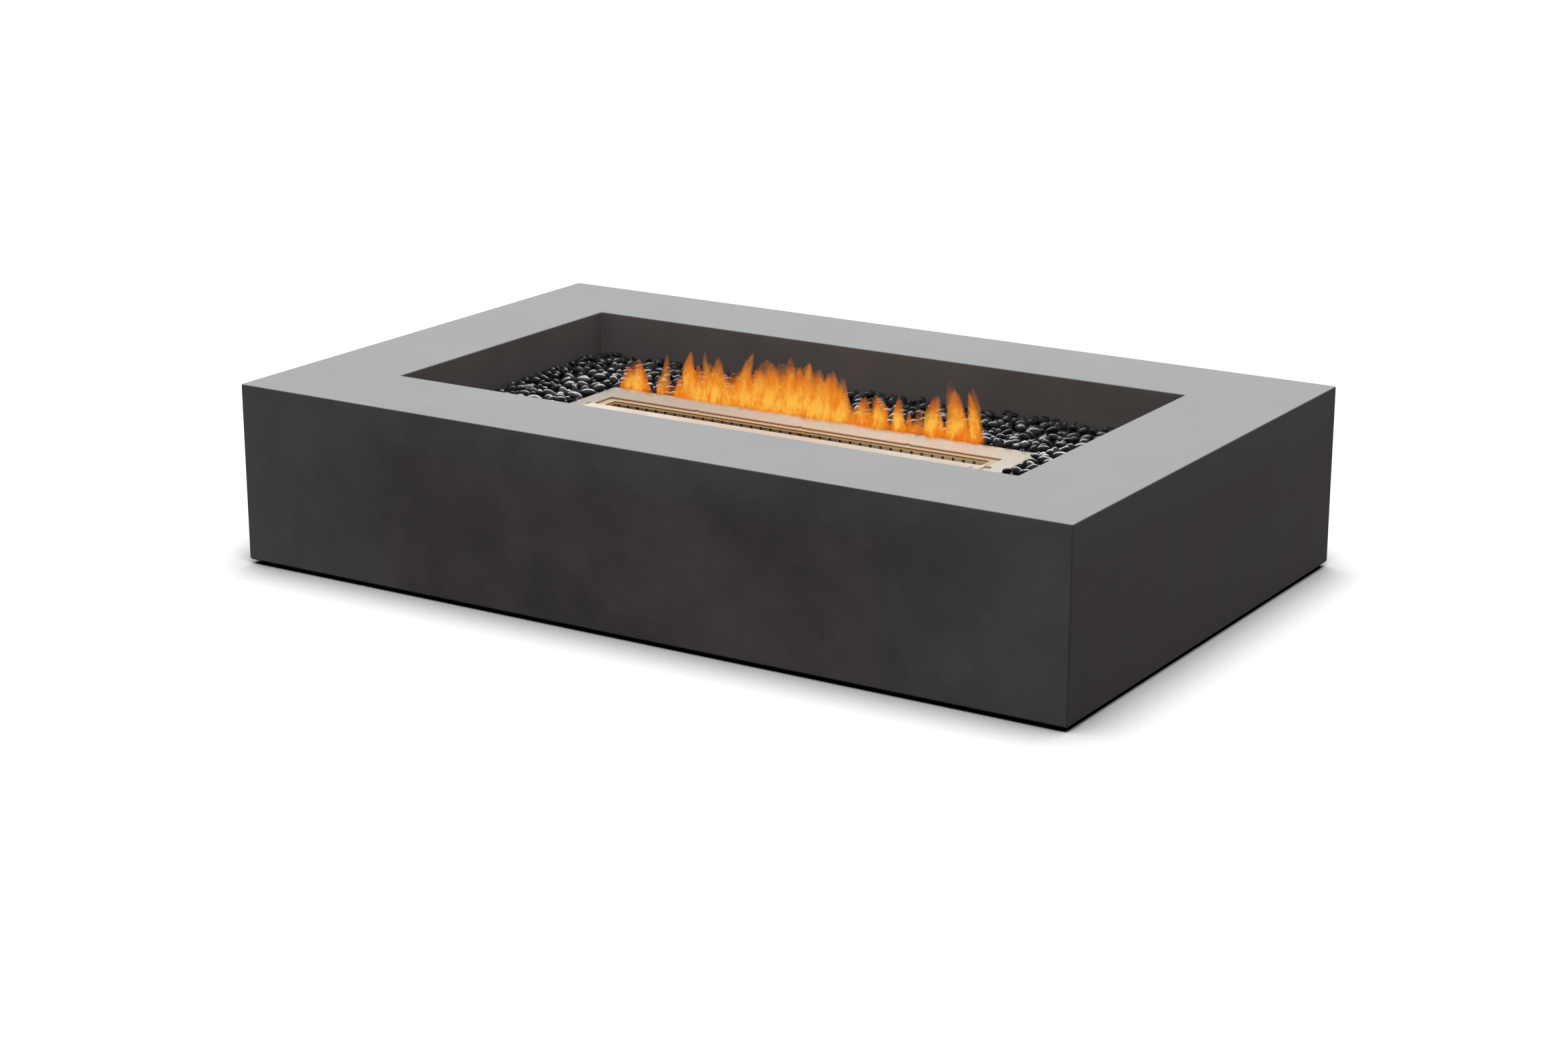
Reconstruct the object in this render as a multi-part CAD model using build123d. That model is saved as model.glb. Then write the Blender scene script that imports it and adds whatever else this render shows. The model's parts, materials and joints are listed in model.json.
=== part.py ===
"""Cast patio fire pit with a pebble bed and a lidded linear ethanol burner.

Millimetres. Origin on the ground under the middle of the block, X along the long side,
front towards -Y, Z up.
"""
from build123d import *
import math
import os
import random

# Cast block
block_length = 1650.0
block_width = 1020.0
casting_height = 325.0
rim_width = 200.0
rim_thickness = 28.0
outer_wall = 20.0
well_wall = 20.0
corner_radius = 4.0
top_edge_chamfer = 2.0
bottom_edge_chamfer = 3.0
well_corner_radius = 2.5
ledge_width = 35.0
ledge_thickness = 26.0

# Feet
foot_height = 8.0
foot_diameter = 60.0
foot_inset = 70.0
foot_block = 120.0
foot_block_height = 60.0
stud_diameter = 6.0
stud_length = 20.0
stud_clearance = 0.1
insert_across_corners = 13.0
insert_length = 25.0

# Pebble tray
burner_depth = 85.0
bed_depth = 16.0
tray_sheet = 2.0
tray_wall_height = 12.0
tray_gap = 3.0
strip_width = 25.0
strip_thickness = 3.0
drain_length = 40.0
drain_width = 8.0
drain_inset = 60.0
collar_gap = 6.0
seat_gap = 0.2
skirt_gap = 4.0

# Pebbles
stone_length = 50.0
stone_width = 34.0
stone_height = 20.0
length_spread = 0.3
height_spread = 0.15
stone_turn = 20.0
stone_gap = 0.6
stone_flat = 0.62
waist_low = 0.34
waist_high = 0.66
bed_gap = 2.0
pebble_seed = 7

# Burner plates
plate_length = 900.0
plate_width = 210.0
plate_sheet = 3.0
plate_skirt_sheet = 2.0
plate_corner_radius = 3.0
plate_edge_chamfer = 0.8
plate_overhang = 20.0
window_end_margin = 38.0
window_back = 40.0
notch_radius = 4.0
notch_spacing = 222.0
throat_sheet = 2.0
slot_end_ledge = 19.0
slot_front = -10.0
slot_back = 25.0

# Flame combs under the slot
comb_sheet = 1.5
comb_depth = 26.0
comb_flange = 12.0
slit_pitch = 20.8
slit_width = 2.6
slit_height = 16.0
slit_top_margin = 1.2

# Fuel tank
tank_depth = 90.0
tank_sheet = 1.5
wool_height = 46.0
wool_gap = 0.3
retainer_sheet = 1.0
retainer_slot_length = 70.0
retainer_slot_width = 10.0
retainer_slot_pitch = 92.0
retainer_row_spacing = 34.0

# Lid and its hinge
hinge_y = -22.0
lid_gap = 0.3
lid_side_gap = 0.4
lid_edge_offset = 3.2
lid_corner_radius = 3.0
knuckle_width = 7.6
pin_diameter = 3.0
pin_running_clearance = 0.05
pin_seat_clearance = 0.02
pin_head_diameter = 5.0
pin_head_height = 1.5
ear_offset = 1.5
ear_width = 6.0
ear_radius = 3.2
ear_pocket_gap = 1.5
tool_slot_width = 4.0
tool_slot_length = 26.0
tool_slot_end_inset = 16.0
tool_slot_edge_inset = 14.0

# Heights that follow from the sizes above
rim_z = foot_height + casting_height
plate_z = rim_z - burner_depth
tray_floor_z = plate_z - bed_depth
tray_under_z = tray_floor_z - tray_sheet
ledge_z = tray_under_z - strip_thickness
throat_top_z = plate_z - plate_sheet
throat_under_z = throat_top_z - throat_sheet
tank_floor_z = throat_under_z - tank_depth
wool_top_z = tank_floor_z + tank_sheet + wool_height

# Plan sizes that follow
well_length = block_length - 2 * rim_width
well_width = block_width - 2 * rim_width
tray_length = well_length - 2 * tray_gap
tray_width = well_width - 2 * tray_gap
plate_skirt = bed_depth - skirt_gap
tank_length = plate_length - 2 * plate_overhang
tank_width = plate_width - 2 * plate_overhang
window_length = plate_length - 2 * window_end_margin
slot_length = window_length - 2 * slot_end_ledge
cutout_length = tank_length + 2 * collar_gap
cutout_width = tank_width + 2 * collar_gap
knuckle_radius = plate_sheet - lid_gap
window_front = hinge_y - knuckle_radius - lid_side_gap
lid_sheet = plate_sheet - 2 * lid_gap
lid_length = window_length - 2 * lid_side_gap
lid_width = window_back - lid_side_gap - (hinge_y + lid_edge_offset)
ear_x = window_length / 2 + ear_offset
UP = (Align.CENTER, Align.CENTER, Align.MIN)


def slab(x_size, y_size, z_low, z_high, x=0.0, y=0.0):
    """Box between two heights, centred on x and y."""
    return Pos(x, y, z_low) * Box(x_size, y_size, z_high - z_low, align=UP)


def rounded_slab(x_size, y_size, radius, z_low, z_high):
    """Box between two heights with rounded upright corners."""
    return Pos(0, 0, z_low) * extrude(RectangleRounded(x_size, y_size, radius), z_high - z_low)


def upright(diameter, z_low, z_high, x=0.0, y=0.0):
    """Upright cylinder between two heights."""
    return Pos(x, y, z_low) * Cylinder(diameter / 2, z_high - z_low, align=UP)


def upright_hexagon(across_corners, z_low, z_high, x=0.0, y=0.0):
    """Upright hexagonal bar between two heights."""
    return Pos(x, y, z_low) * extrude(RegularPolygon(across_corners / 2, 6), z_high - z_low)


def along_x(radius, x_low, x_high, y, z):
    """Cylinder along X."""
    return Pos(x_low, y, z) * Rot(0, 90, 0) * Cylinder(radius, x_high - x_low, align=UP)


def foot_places():
    """Middles of the four feet."""
    x = block_length / 2 - foot_inset
    y = block_width / 2 - foot_inset
    return [(sx * x, sy * y) for sx in (-1, 1) for sy in (-1, 1)]


def make_shell():
    """Hollow casting: outer walls, rim, well walls, tray ledge and corner blocks."""
    block = rounded_slab(block_length, block_width, corner_radius, foot_height, rim_z)
    block = chamfer(block.faces().sort_by(Axis.Z)[-1].edges(), top_edge_chamfer)
    block = chamfer(block.faces().sort_by(Axis.Z)[0].edges(), bottom_edge_chamfer)
    cavity = slab(
        block_length - 2 * outer_wall, block_width - 2 * outer_wall, foot_height, rim_z - rim_thickness
    )
    well_block = slab(
        well_length + 2 * well_wall, well_width + 2 * well_wall, ledge_z - ledge_thickness, rim_z
    )
    cavity -= well_block
    for x, y in foot_places():
        block_x = math.copysign(block_length / 2 - foot_block / 2, x)
        block_y = math.copysign(block_width / 2 - foot_block / 2, y)
        cavity -= slab(foot_block, foot_block, foot_height, foot_height + foot_block_height, block_x, block_y)
    shell = block - cavity
    shell -= rounded_slab(well_length, well_width, well_corner_radius, ledge_z, rim_z)
    shell -= slab(
        well_length - 2 * ledge_width, well_width - 2 * ledge_width, ledge_z - ledge_thickness, ledge_z
    )
    well_rim = [
        edge
        for edge in shell.faces().sort_by(Axis.Z)[-1].edges()
        if abs(edge.center().X) < well_length / 2 + well_wall
        and abs(edge.center().Y) < well_width / 2 + well_wall
    ]
    shell = chamfer(well_rim, top_edge_chamfer)
    for x, y in foot_places():
        shell -= upright_hexagon(insert_across_corners, foot_height, foot_height + insert_length, x, y)
    return shell


def make_foot_pads():
    """Round rubber pads."""
    return Compound([upright(foot_diameter, 0, foot_height, x, y) for x, y in foot_places()])


def make_foot_studs():
    """Steel studs bonded to the pads, which screw into the inserts."""
    top = foot_height + stud_length
    return Compound([upright(stud_diameter, foot_height, top, x, y) for x, y in foot_places()])


def make_foot_inserts():
    """Hexagonal brass inserts cast into the corner blocks."""
    bore = stud_diameter + 2 * stud_clearance
    top = foot_height + insert_length
    inserts = []
    for x, y in foot_places():
        insert = upright_hexagon(insert_across_corners, foot_height, top, x, y)
        inserts.append(insert - upright(bore, foot_height, top, x, y))
    return Compound(inserts)


def make_long_strip(side):
    """Heat-proof strip on the front (-1) or back (1) ledge."""
    y = side * (well_width / 2 - ledge_width / 2)
    return slab(well_length - 2 * ledge_width, strip_width, ledge_z, tray_under_z, 0, y)


def make_short_strip(side):
    """Heat-proof strip on the left (-1) or right (1) ledge."""
    x = side * (well_length / 2 - ledge_width / 2)
    return slab(strip_width, well_width - 2 * ledge_width, ledge_z, tray_under_z, x, 0)


def make_tray():
    """Folded pan with the burner cut-out, its upturned collar and drain slots."""
    tray = slab(tray_length, tray_width, tray_under_z, tray_floor_z + tray_wall_height)
    tray -= slab(
        tray_length - 2 * tray_sheet, tray_width - 2 * tray_sheet,
        tray_floor_z, tray_floor_z + tray_wall_height,
    )
    tray += slab(
        cutout_length + 2 * tray_sheet, cutout_width + 2 * tray_sheet,
        tray_under_z, throat_top_z - seat_gap,
    )
    tray -= slab(cutout_length, cutout_width, tray_under_z, throat_top_z)
    drain_x = tray_length / 2 - drain_inset
    drain_y = tray_width / 2 - drain_inset
    for x in (-drain_x, drain_x):
        for y in (-drain_y, drain_y):
            tray -= slab(drain_length, drain_width, tray_under_z, tray_floor_z, x, y)
    return tray


def make_stone(dice, x, y, patch_x, patch_y):
    """One flattened pebble of twenty facets that stays inside its own patch of the tray floor."""
    turn = math.radians(dice.uniform(-stone_turn, stone_turn))
    spin = dice.uniform(0, 2 * math.pi / 3)
    height = stone_height * (1 + height_spread * dice.uniform(-1, 1))
    half_x, half_y = (patch_x - stone_gap) / 2, (patch_y - stone_gap) / 2
    reach_x = math.hypot(half_x * math.cos(turn), half_y * math.sin(turn))
    reach_y = math.hypot(half_x * math.sin(turn), half_y * math.cos(turn))
    share = min(half_x / reach_x, half_y / reach_y)
    y += (half_y - share * reach_y) * dice.uniform(-1, 1)
    rings = ((0, stone_flat, 0), (waist_low, 1, 1), (waist_high, 1, 0), (1, stone_flat, 1))
    points = []
    for level, width, twist in rings:
        for k in range(3):
            angle = spin + (2 * k + twist) * math.pi / 3
            u = share * width * half_x * math.cos(angle)
            v = share * width * half_y * math.sin(angle)
            points.append((
                x + u * math.cos(turn) - v * math.sin(turn),
                y + u * math.sin(turn) + v * math.cos(turn),
                tray_floor_z + level * height,
            ))
    return ConvexPolyhedron(points)


def make_pebbles(x_low, x_high, y_low, y_high, seed):
    """Patch of pebbles in rows, each row shared out among stones of uneven length."""
    dice = random.Random(seed)
    rows = max(1, round((y_high - y_low) / stone_width))
    columns = max(1, round((x_high - x_low) / stone_length))
    row_width = (y_high - y_low) / rows
    stones = []
    for row in range(rows):
        y = y_low + (row + 0.5) * row_width
        parts = [1 + length_spread * dice.uniform(-1, 1) for _ in range(columns)]
        x = x_low
        for part in parts:
            run = (x_high - x_low) * part / sum(parts)
            stones.append(make_stone(dice, x + run / 2, y, run, row_width))
            x += run
    return Compound(stones)


def make_top_plate():
    """Cover plate with a folded skirt, the lid window, ear pockets and lift notches."""
    plate = rounded_slab(plate_length, plate_width, plate_corner_radius, plate_z - plate_skirt, plate_z)
    plate = chamfer(plate.faces().sort_by(Axis.Z)[-1].edges(), plate_edge_chamfer)
    plate -= slab(
        plate_length - 2 * plate_skirt_sheet, plate_width - 2 * plate_skirt_sheet,
        plate_z - plate_skirt, throat_top_z,
    )
    window_y = (window_front + window_back) / 2
    plate -= slab(window_length, window_back - window_front, throat_top_z, plate_z, 0, window_y)
    pocket_length = ear_offset + ear_width + pin_head_height + ear_pocket_gap
    pocket_width = 2 * (ear_radius + ear_pocket_gap)
    for side in (-1, 1):
        pocket_x = side * (window_length / 2 + pocket_length / 2)
        plate -= slab(pocket_length, pocket_width, throat_top_z, plate_z, pocket_x, hinge_y)
    for x in (-notch_spacing, 0, notch_spacing):
        plate -= upright(2 * notch_radius, throat_top_z, plate_z, x, window_back)
    return plate


def make_long_throat_sheet(edge_y, side):
    """Sheet under the cover plate from one long edge of the slot out to the tank wall."""
    y_size = tank_width / 2 - side * edge_y
    return slab(tank_length, y_size, throat_under_z, throat_top_z, 0, edge_y + side * y_size / 2)


def make_short_throat_sheet(side):
    """Sheet between the long ones that closes the left (-1) or right (1) end of the slot."""
    x_size = (tank_length - slot_length) / 2
    x = side * (slot_length + x_size) / 2
    y = (slot_front + slot_back) / 2
    return slab(x_size, slot_back - slot_front, throat_under_z, throat_top_z, x, y)


def make_comb(edge_y, side):
    """Slotted angle strip that hangs from one long edge of the slot, flange away from the flame."""
    web_z = throat_under_z - comb_depth
    web = slab(slot_length, comb_sheet, web_z, throat_under_z, 0, edge_y + side * comb_sheet / 2)
    flange_y = edge_y + side * comb_flange / 2
    comb = web + slab(slot_length, comb_flange, throat_under_z - comb_sheet, throat_under_z, 0, flange_y)
    slit_top = throat_under_z - comb_sheet - slit_top_margin
    count = math.floor((slot_length - slit_pitch) / slit_pitch)
    first_x = -slit_pitch * (count - 1) / 2
    slits = [
        slab(slit_width, 3 * comb_sheet, slit_top - slit_height, slit_top, first_x + k * slit_pitch, edge_y)
        for k in range(count)
    ]
    return comb - slits


def make_throat_end(side):
    """Plate that hangs under the left (-1) or right (1) end of the slot."""
    y_size = slot_back - slot_front + 2 * comb_sheet
    y = (slot_front + slot_back) / 2
    x = side * (slot_length / 2 + comb_sheet / 2)
    return slab(comb_sheet, y_size, throat_under_z - comb_depth, throat_under_z, x, y)


def make_trough():
    """Fuel tank folded from one sheet, open at the top and at both ends."""
    trough = slab(tank_length, tank_width, tank_floor_z, throat_under_z)
    return trough - slab(tank_length, tank_width - 2 * tank_sheet, tank_floor_z + tank_sheet, throat_under_z)


def make_tank_end(side):
    """Plate welded into the left (-1) or right (1) end of the tank."""
    x = side * (tank_length / 2 - tank_sheet / 2)
    return slab(tank_sheet, tank_width - 2 * tank_sheet, tank_floor_z + tank_sheet, throat_under_z, x)


def make_wool():
    """Block of ceramic wool on the tank floor."""
    x_size = tank_length - 2 * tank_sheet - 2 * wool_gap
    y_size = tank_width - 2 * tank_sheet - 2 * wool_gap
    return slab(x_size, y_size, tank_floor_z + tank_sheet, wool_top_z)


def make_retainer():
    """Slotted sheet on top of the wool."""
    x_size = tank_length - 2 * tank_sheet - 2 * wool_gap
    y_size = tank_width - 2 * tank_sheet - 2 * wool_gap
    sheet = slab(x_size, y_size, wool_top_z, wool_top_z + retainer_sheet)
    columns = math.floor((x_size - retainer_slot_length) / retainer_slot_pitch)
    first_x = -retainer_slot_pitch * (columns - 1) / 2
    slots = [
        slab(
            retainer_slot_length, retainer_slot_width, wool_top_z, wool_top_z + retainer_sheet,
            first_x + k * retainer_slot_pitch, row * retainer_row_spacing,
        )
        for k in range(columns)
        for row in (-1, 0, 1)
    ]
    return sheet - slots


def make_ear(side):
    """Ear that stands on the throat sheets beside the lid and holds a hinge pin."""
    x_low = ear_x if side > 0 else -ear_x - ear_width
    x = x_low + ear_width / 2
    ear = along_x(ear_radius, x_low, x_low + ear_width, hinge_y, plate_z)
    ear += slab(ear_width, 2 * ear_radius, throat_top_z, plate_z, x, hinge_y)
    ear -= slab(ear_width, 2 * ear_radius, throat_top_z - ear_radius, throat_top_z, x, hinge_y)
    bore = pin_diameter / 2 + pin_seat_clearance
    return ear - along_x(bore, x_low, x_low + ear_width, hinge_y, plate_z)


def make_pin(side):
    """Headed hinge pin from the ear into the lid's knuckle."""
    inner = lid_length / 2 - knuckle_width
    outer = ear_x + ear_width
    shank = (inner, outer) if side > 0 else (-outer, -inner)
    head = (outer, outer + pin_head_height) if side > 0 else (-outer - pin_head_height, -outer)
    pin = along_x(pin_diameter / 2, *shank, hinge_y, plate_z)
    return pin + along_x(pin_head_diameter / 2, *head, hinge_y, plate_z)


def make_lid():
    """Flat lid lying open on the cover plate, with a knuckle at each end and a tool slot."""
    back_y = hinge_y - lid_edge_offset
    low_z = plate_z + lid_gap
    lid = slab(lid_length, lid_width, low_z, low_z + lid_sheet, 0, back_y - lid_width / 2)
    lid = fillet(lid.edges().filter_by(Axis.Z).group_by(Axis.Y)[0], lid_corner_radius)
    tool_x = lid_length / 2 - tool_slot_end_inset
    tool_y = back_y - tool_slot_edge_inset - tool_slot_length / 2
    lid -= slab(tool_slot_width, tool_slot_length, low_z, low_z + lid_sheet, tool_x, tool_y)
    bore = pin_diameter / 2 + pin_running_clearance
    web_top = plate_z + knuckle_radius
    for side in (-1, 1):
        x_low = lid_length / 2 - knuckle_width if side > 0 else -lid_length / 2
        x_high = x_low + knuckle_width
        x, y = (x_low + x_high) / 2, (hinge_y + back_y) / 2
        lid += along_x(knuckle_radius, x_low, x_high, hinge_y, plate_z)
        lid += slab(knuckle_width, lid_edge_offset, low_z, web_top, x, y)
        lid -= along_x(bore, x_low, x_high, hinge_y, plate_z)
    return lid


# Pebble patches between the burner's cover plate and the tray walls
bed_x = tray_length / 2 - tray_sheet - bed_gap
bed_y = tray_width / 2 - tray_sheet - bed_gap
clear_x = plate_length / 2 + bed_gap
clear_y = plate_width / 2 + bed_gap

nodes = {
    "concrete_shell": make_shell(),
    "foot_pads": make_foot_pads(),
    "foot_studs": make_foot_studs(),
    "foot_inserts": make_foot_inserts(),
    "ledge_strip_front": make_long_strip(-1),
    "ledge_strip_back": make_long_strip(1),
    "ledge_strip_left": make_short_strip(-1),
    "ledge_strip_right": make_short_strip(1),
    "pebble_tray": make_tray(),
    "pebbles_front": make_pebbles(-bed_x, bed_x, -bed_y, -clear_y, pebble_seed),
    "pebbles_back": make_pebbles(-bed_x, bed_x, clear_y, bed_y, pebble_seed + 1),
    "pebbles_left": make_pebbles(-bed_x, -clear_x, -clear_y, clear_y, pebble_seed + 2),
    "pebbles_right": make_pebbles(clear_x, bed_x, -clear_y, clear_y, pebble_seed + 3),
    "burner_top_plate": make_top_plate(),
    "throat_sheet_front": make_long_throat_sheet(slot_front, -1),
    "throat_sheet_back": make_long_throat_sheet(slot_back, 1),
    "throat_sheet_left": make_short_throat_sheet(-1),
    "throat_sheet_right": make_short_throat_sheet(1),
    "comb_front": make_comb(slot_front, -1),
    "comb_back": make_comb(slot_back, 1),
    "throat_end_left": make_throat_end(-1),
    "throat_end_right": make_throat_end(1),
    "tank_trough": make_trough(),
    "tank_end_left": make_tank_end(-1),
    "tank_end_right": make_tank_end(1),
    "wool_pad": make_wool(),
    "wool_retainer": make_retainer(),
    "hinge_ear_left": make_ear(-1),
    "hinge_ear_right": make_ear(1),
    "hinge_pin_left": make_pin(-1),
    "hinge_pin_right": make_pin(1),
    "burner_lid": make_lid(),
}

os.makedirs("parts", exist_ok=True)
for name, shape in nodes.items():
    export_step(shape, f"parts/{name}.step")
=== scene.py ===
"""Looks of a cast fire pit: concrete, loose pebbles, a brushed burner and its flames.

Metres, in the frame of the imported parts: X along the block, front towards -Y, Z up.
"""
import json
import math
import random

import bpy
import numpy as np
from bpy.props import FloatProperty, FloatVectorProperty, IntProperty, PointerProperty
from mathutils import Matrix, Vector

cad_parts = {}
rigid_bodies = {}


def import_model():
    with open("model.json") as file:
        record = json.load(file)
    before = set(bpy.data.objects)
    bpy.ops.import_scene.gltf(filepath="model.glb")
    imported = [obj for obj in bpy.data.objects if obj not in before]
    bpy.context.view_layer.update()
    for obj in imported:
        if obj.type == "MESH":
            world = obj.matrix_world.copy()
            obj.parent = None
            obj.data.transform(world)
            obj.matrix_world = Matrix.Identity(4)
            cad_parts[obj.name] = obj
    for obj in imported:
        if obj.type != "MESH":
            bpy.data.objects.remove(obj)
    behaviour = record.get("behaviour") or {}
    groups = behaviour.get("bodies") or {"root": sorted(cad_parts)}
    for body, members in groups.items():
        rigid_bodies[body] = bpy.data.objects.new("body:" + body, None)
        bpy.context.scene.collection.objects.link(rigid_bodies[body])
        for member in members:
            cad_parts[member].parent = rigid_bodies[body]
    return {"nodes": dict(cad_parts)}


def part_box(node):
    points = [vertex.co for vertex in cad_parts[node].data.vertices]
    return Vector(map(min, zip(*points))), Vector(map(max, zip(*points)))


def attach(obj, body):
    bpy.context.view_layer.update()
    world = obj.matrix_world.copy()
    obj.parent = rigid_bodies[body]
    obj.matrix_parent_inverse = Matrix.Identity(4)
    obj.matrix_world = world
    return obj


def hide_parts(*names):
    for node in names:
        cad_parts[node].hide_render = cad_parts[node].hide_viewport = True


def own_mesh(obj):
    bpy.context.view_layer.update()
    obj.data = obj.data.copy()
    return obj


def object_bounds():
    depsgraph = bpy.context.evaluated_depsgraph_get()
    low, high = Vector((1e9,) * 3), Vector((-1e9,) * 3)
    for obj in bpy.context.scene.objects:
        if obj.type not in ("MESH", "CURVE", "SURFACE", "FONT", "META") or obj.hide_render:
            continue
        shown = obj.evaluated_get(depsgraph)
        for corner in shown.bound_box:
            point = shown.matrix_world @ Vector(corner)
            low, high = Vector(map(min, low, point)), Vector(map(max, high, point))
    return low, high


bl_info = {
    "name": "Cast fire pit",
    "version": (1, 0, 0),
    "blender": (4, 5, 0),
    "location": "3D View > Sidebar > Fire pit",
    "description": "Finishes, pebbles, flames and studio of a cast fire pit",
    "category": "Object",
}

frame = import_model()
CAD_BOX = [list(corner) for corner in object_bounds()]
HALF_LENGTH, HALF_WIDTH = CAD_BOX[1][:2]

# Places that the finishes and pieces take from the frame
RIM_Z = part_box("concrete_shell")[1].z
PLATE_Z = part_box("burner_top_plate")[1].z
THROAT_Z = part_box("throat_sheet_front")[1].z
SLOT_FRONT_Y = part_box("comb_front")[1].y
SLOT_BACK_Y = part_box("comb_back")[0].y
SLOT_END_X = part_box("comb_front")[1].x
SLOT_MIDDLE_Y = (SLOT_FRONT_Y + SLOT_BACK_Y) / 2
SLOT_HALF_WIDTH = (SLOT_BACK_Y - SLOT_FRONT_Y) / 2

# From the tray's edge to a little way inside the well's walls, so that the walls count as the well's
WELL_MARGIN = 0.006
WELL_HALF_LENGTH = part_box("pebble_tray")[1].x + WELL_MARGIN
WELL_HALF_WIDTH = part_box("pebble_tray")[1].y + WELL_MARGIN

# Distance from the middle that holds the cover plate's window, and pitch of the slits in the combs
WINDOW_REACH = 0.06
SLIT_PITCH = 0.0208

# Direction that the flames lean to, from +Y towards -X
BREEZE = math.radians(32.2)

RUBBER_NODES = (
    "foot_pads", "ledge_strip_front", "ledge_strip_back", "ledge_strip_left", "ledge_strip_right",
)
FASTENER_NODES = ("foot_studs", "hinge_pin_left", "hinge_pin_right")
THROAT_NODES = (
    "throat_sheet_front", "throat_sheet_back", "throat_sheet_left", "throat_sheet_right",
)
COMB_NODES = ("comb_front", "comb_back", "throat_end_left", "throat_end_right", "wool_retainer")
TANK_NODES = ("tank_trough", "tank_end_left", "tank_end_right")
EAR_NODES = ("hinge_ear_left", "hinge_ear_right")
PEBBLE_SIDES = ("front", "back", "left", "right")

# Flame tongues in millimetres: left and right end of the root along the slot, where the tip stands
# along the slot, height over the burner plate as seen from the front, how round the tip is from 0 to 1
# and how dense it burns
TONGUES = (
    (-368, -330, -352, 74, 0.9, 0.95),
    (-340, -290, -330, 82, 0.7, 0.90),
    (-352, -304, -330, 92, 0.7, 0.35),
    (-288, -269, -281, 65, 0.8, 0.90),
    (-285, -255, -266, 108, 0.2, 0.40),
    (-252, -232, -237, 67, 0.4, 0.90),
    (-233, -186, -217, 122, 0.3, 0.85),
    (-198, -167, -180, 127, 0.1, 0.45),
    (-173, -128, -155, 117, 0.5, 0.90),
    (-129, -79, -84, 138, 0.3, 0.70),
    (-94, -22, -50, 128, 1.0, 0.75),
    (-30, 15, 2, 142, 0.3, 0.80),
    (-5, 34, 22, 124, 0.5, 1.00),
    (23, 62, 41, 135, 0.6, 0.75),
    (50, 82, 84, 122, 0.4, 0.70),
    (86, 117, 89, 127, 0.8, 0.75),
    (130, 178, 154, 84, 0.5, 0.90),
    (155, 207, 182, 90, 0.7, 0.90),
    (205, 242, 223, 92, 0.4, 0.95),
    (243, 273, 264, 78, 0.6, 0.35),
    (272, 318, 296, 106, 0.7, 0.92),
    (312, 360, 341, 122, 0.7, 0.95),
    (322, 355, 333, 142, 1.0, 0.40),
    (349, 368, 356, 76, 0.4, 0.85),
    (362, 395, 366, 122, 0.3, 0.95),
    (367, 393, 376, 134, 1.0, 0.35),
)
# Crest of the sheet of fire in millimetres: place along the slot and height as seen from the front
CREST = (
    (-256, 42), (-213, 82), (-150, 78), (-98, 80), (-41, 98), (34, 106), (71, 100), (107, 94), (124, 54),
    (200, 46), (300, 42), (394, 42),
)


def color_setting(name, description, default):
    """A colour that the user can change."""
    return FloatVectorProperty(
        name=name, description=description, subtype="COLOR", default=default, min=0, max=1,
    )


class ConcreteSettings(bpy.types.PropertyGroup):
    """Colours and grain of the casting."""

    wall_color: color_setting("Wall colour", "Charcoal of the walls", (0.060, 0.053, 0.0525))
    # Painted light: the pale tone of the outer walls towards their edges and under the rim
    wall_light_color: color_setting(
        "Bloom", "Pale bloom of the outer walls towards their edges", (0.086, 0.082, 0.084)
    )
    # Painted shade: the end walls are made darker than the front and back
    end_shade_color: color_setting("End tone", "Tone that deepens the end walls", (0.86, 0.84, 0.84))
    # Pale dust round the fire, which also paints light onto the well's shaded walls
    ash_and_light_color: color_setting("Ash colour", "Pale dust on the walls round the fire", (0.20, 0.19, 0.185))
    ash_and_light: FloatProperty(
        name="Ash", description="How much the dust covers the walls round the fire", default=0.33,
        min=0, max=1, subtype="FACTOR",
    )
    # Two-tone top, whose pale grey also paints the light that falls on the top
    top_tone_and_light_color: color_setting("Top colour", "Pale grey of the top face", (0.43, 0.435, 0.44))
    cloud_scale: FloatProperty(
        name="Clouding", description="Clouds in the colour per metre", default=5.0, min=0.1,
    )
    grain_scale: FloatProperty(
        name="Grain", description="Grains of sand per metre", default=420.0, min=1,
    )
    pit_scale: FloatProperty(
        name="Pinholes", description="Cells that may hold a pinhole, per metre", default=55.0, min=1,
    )


class FittingSettings(bpy.types.PropertyGroup):
    """Colours of the small fittings, the tray and the wool."""

    rubber_color: color_setting("Rubber", "Colour of the pads and strips", (0.022, 0.021, 0.02))
    paint_color: color_setting("Tray paint", "Colour of the pebble tray", (0.018, 0.018, 0.018))
    brass_color: color_setting("Brass", "Colour of the foot inserts", (0.70, 0.50, 0.22))
    steel_color: color_setting("Plain steel", "Colour of the studs and hinge pins", (0.56, 0.54, 0.51))
    wool_color: color_setting("Wool", "Colour of the wool's fibres", (0.85, 0.83, 0.78))
    wool_shade_color: color_setting("Wool shade", "Colour between the wool's fibres", (0.62, 0.59, 0.53))


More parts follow.
